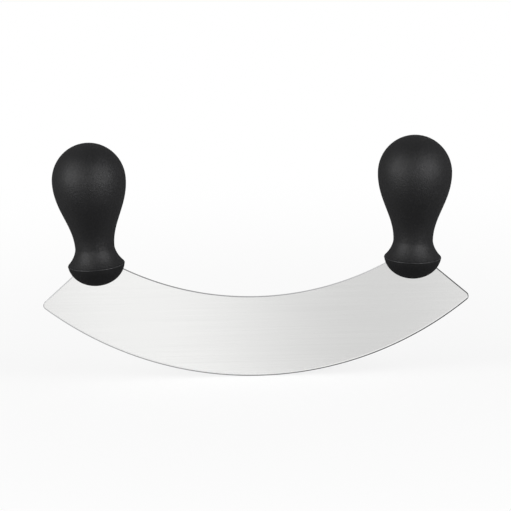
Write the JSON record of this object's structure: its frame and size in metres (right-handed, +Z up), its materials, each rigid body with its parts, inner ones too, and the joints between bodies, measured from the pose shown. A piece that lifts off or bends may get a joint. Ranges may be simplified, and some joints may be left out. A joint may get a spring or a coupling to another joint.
{
  "type": "mezzaluna",
  "caption": "Crescent chopping knife: a stainless half-moon blade, ground along its lower arc, rocked by two black pear-shaped grips.",
  "frame": {"origin": "the lowest point of the cutting edge, midway between the blade's two sides", "axes": "+X along the blade from left grip to right grip, +Y through the blade's thickness towards the back, +Z up from the cutting edge to the grips"},
  "size_m": [0.2596, 0.045, 0.1477],
  "materials": {
    "stainless_steel": "lengthwise brushed, edge ground bright",
    "collar_plastic": "moulded, fine spark-eroded grain",
    "core_plastic": "as moulded, hidden",
    "soft_touch_black": "soft-touch thermoplastic elastomer, fine grain",
    "pin_steel": "ground dowel, hidden"
  },
  "bodies": {
    "root": {"blade": "stainless_steel", "left_collar": "collar_plastic", "left_core": "core_plastic", "left_grip": "soft_touch_black", "left_lower_pin": "pin_steel", "left_upper_pin": "pin_steel", "right_collar": "collar_plastic", "right_core": "core_plastic", "right_grip": "soft_touch_black", "right_lower_pin": "pin_steel", "right_upper_pin": "pin_steel"}
  },
  "joints": []
}
